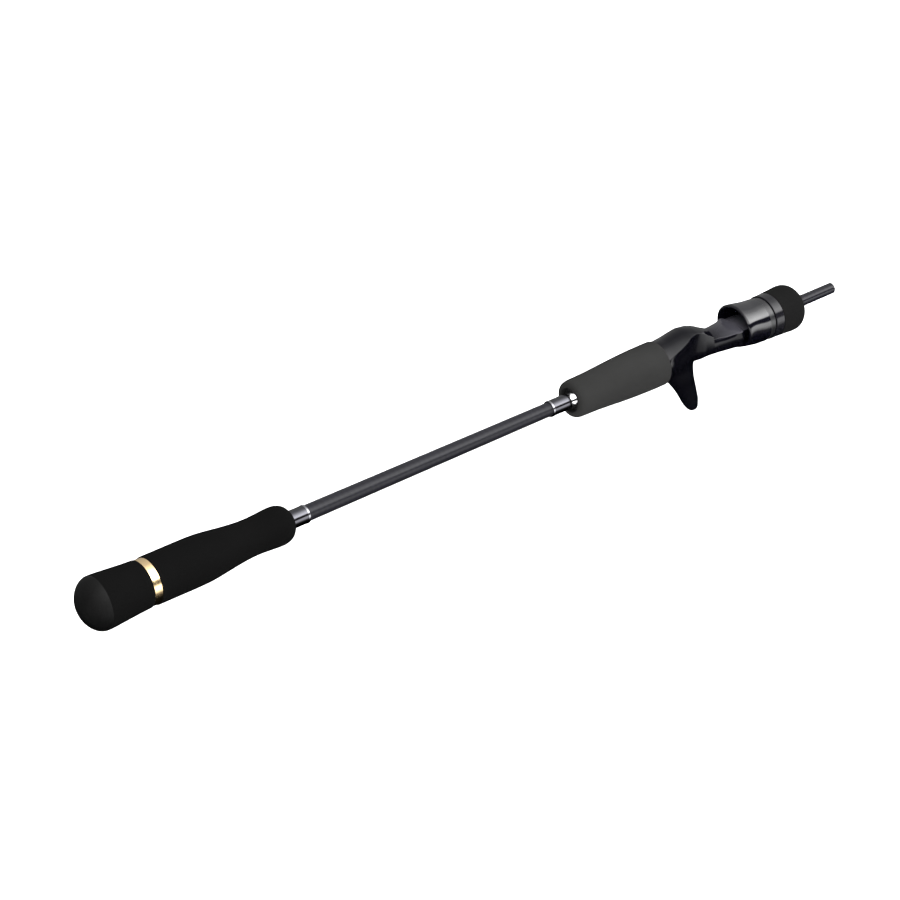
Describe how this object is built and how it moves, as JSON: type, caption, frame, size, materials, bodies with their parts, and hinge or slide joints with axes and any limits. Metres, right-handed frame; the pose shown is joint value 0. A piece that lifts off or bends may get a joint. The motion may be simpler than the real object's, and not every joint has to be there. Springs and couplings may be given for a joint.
{
  "type": "fishing rod butt section",
  "caption": "Butt section of a casting rod: foam rear and fore grips on a tubular blank, a trigger reel seat with a screw-down hood, and an open ferrule socket for the tip section.",
  "frame": {"origin": "crown of the butt cap, on the rod axis", "axes": "+X along the rod towards the tip, +Z towards the reel side, the trigger points along -Z"},
  "size_m": [0.575, 0.032, 0.063],
  "materials": {
    "cap_rubber": "satin moulded rubber",
    "plug_plastic": "moulded",
    "rear_foam": "matte closed-cell foam",
    "gold_metal": "polished champagne gold",
    "gunmetal": "polished gunmetal",
    "bright_ring": "polished",
    "carbon": "satin clear-coated carbon, gloss towards the tip",
    "liner_carbon": "ground",
    "check_chrome": "polished",
    "fore_foam": "matte closed-cell foam",
    "seat_gloss": "gloss black",
    "arbor_foam": "rigid foam",
    "hood_gloss": "gloss black",
    "coupler_satin": "satin black",
    "nut_gloss": "gloss black",
    "nut_foam": "matte closed-cell foam"
  },
  "bodies": {
    "rod": {"butt_cap": "cap_rubber", "butt_plug": "plug_plastic", "butt_grip": "rear_foam", "trim_ring": "gold_metal", "rear_grip": "rear_foam", "rear_check": "gunmetal", "rear_band": "bright_ring", "blank": "carbon", "ferrule_liner": "liner_carbon", "fore_band": "bright_ring", "fore_collar": "gunmetal", "fore_check": "check_chrome", "fore_grip": "fore_foam", "seat_body": "seat_gloss", "arbor_aft": "arbor_foam", "arbor_mid": "arbor_foam", "arbor_fore": "arbor_foam"},
    "hood": {"moving_hood": "hood_gloss", "coupler_ring": "coupler_satin"},
    "nut": {"nut_core": "nut_gloss", "nut_grip": "nut_foam"}
  },
  "joints": [
    {"name": "hood_slide", "type": "slide", "parent": "rod", "child": "hood", "axis": [1, 0, 0], "range_m": [0, 0.015]},
    {"name": "nut_spin", "type": "hinge", "parent": "hood", "child": "nut", "pos_m": [0.525, 0, 0], "axis": [1, 0, 0], "range_deg": [0, 1800]}
  ],
  "couplings": [
    {"joint": "nut_spin", "follows": "hood_slide", "rad_per_m": 2094.4}
  ]
}
